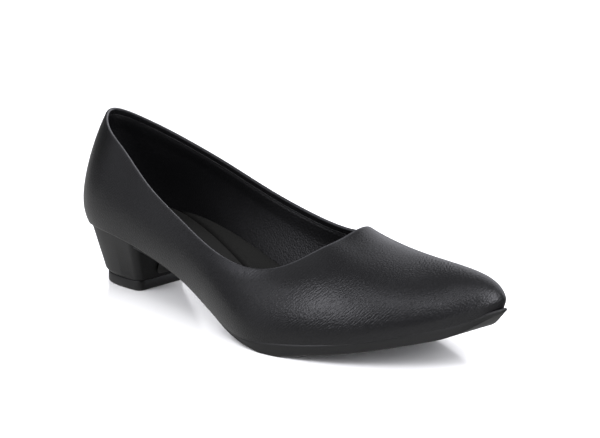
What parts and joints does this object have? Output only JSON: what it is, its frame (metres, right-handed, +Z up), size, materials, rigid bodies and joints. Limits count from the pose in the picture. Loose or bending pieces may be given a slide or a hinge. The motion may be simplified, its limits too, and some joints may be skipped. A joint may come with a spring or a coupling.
{
  "type": "block heel shoe",
  "caption": "Plain pointed court pump for the right foot with a low covered block heel, a low topline, a thin rubber sole with toe spring and a rubber heel tip.",
  "frame": {"origin": "on the floor under the middle of the shoe's bounding box", "axes": "+X from the heel to the toe, +Y to the inner side of the foot, +Z up"},
  "size_m": [0.2508, 0.0806, 0.085],
  "materials": {
    "upper": "fine pebbled, semi-matte black",
    "outsole": "moulded, matte black",
    "insole": "soft black sock lining",
    "heel": "smooth covered block, satin black",
    "heel_tip": "moulded, matte black"
  },
  "bodies": {
    "root": {"upper": "upper", "outsole": "outsole", "insole": "insole", "heel": "heel", "heel_tip": "heel_tip"}
  },
  "joints": []
}
